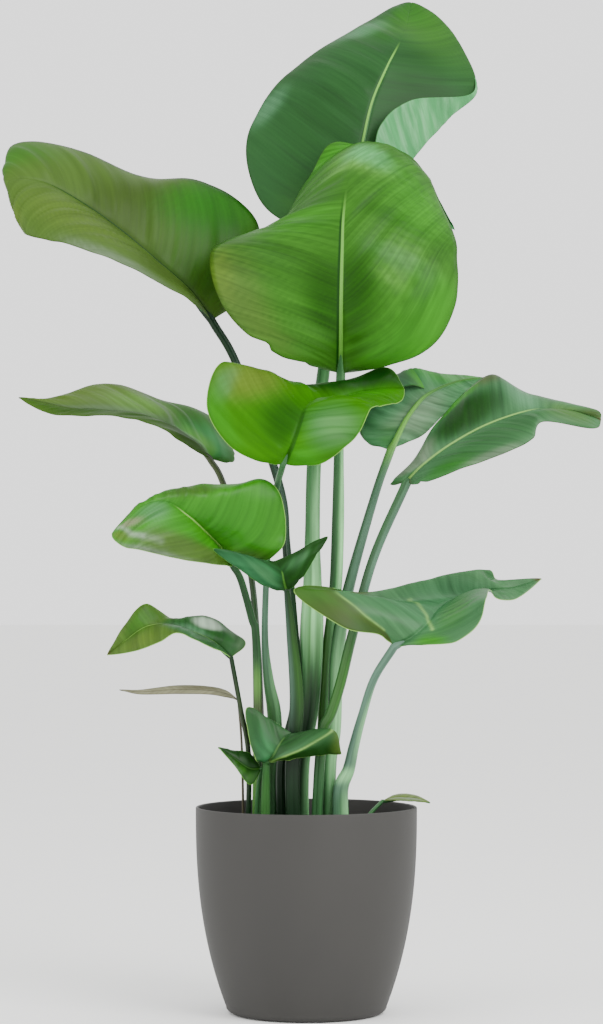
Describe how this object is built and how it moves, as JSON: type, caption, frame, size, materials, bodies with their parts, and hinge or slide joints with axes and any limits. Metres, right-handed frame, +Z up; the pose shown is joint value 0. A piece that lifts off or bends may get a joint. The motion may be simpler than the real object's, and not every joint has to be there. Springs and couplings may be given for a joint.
{
  "type": "potted bird of paradise plant",
  "caption": "Potted bird of paradise: broad paddle-shaped leaves on tall stalks that rise from soil in a plain round tapered pot.",
  "frame": {"origin": "centre of the pot's flat foot, on the surface that it stands on", "axes": "+Z up along the pot's axis; -Y towards the side the picture shows; +X to the right in the picture"},
  "size_m": [0.6679, 0.3423, 1.1817],
  "materials": {
    "leaf": "living leaf and stalk, mid green, waxy satin upper side, paler underside, fine side veins",
    "dried_leaf": "withered leaf, beige, papery and matt",
    "pot": "moulded plastic, warm mid grey, fine matt texture",
    "soil": "potting soil of peat and bark, dark brown, rough"
  },
  "bodies": {
    "root": {"leaf_top_back": "leaf", "leaf_front": "leaf", "leaf_left_high": "leaf", "leaf_mid_front": "leaf", "leaf_left_mid": "leaf", "leaf_left_low": "leaf", "leaf_centre_small": "leaf", "leaf_right_back": "leaf", "leaf_right": "leaf", "leaf_right_low": "leaf", "leaf_small_left": "leaf", "leaf_low_front": "leaf", "leaf_low_left": "leaf", "leaf_rim_right": "leaf", "dried_leaf": "dried_leaf", "pot": "pot", "soil": "soil"}
  },
  "joints": []
}
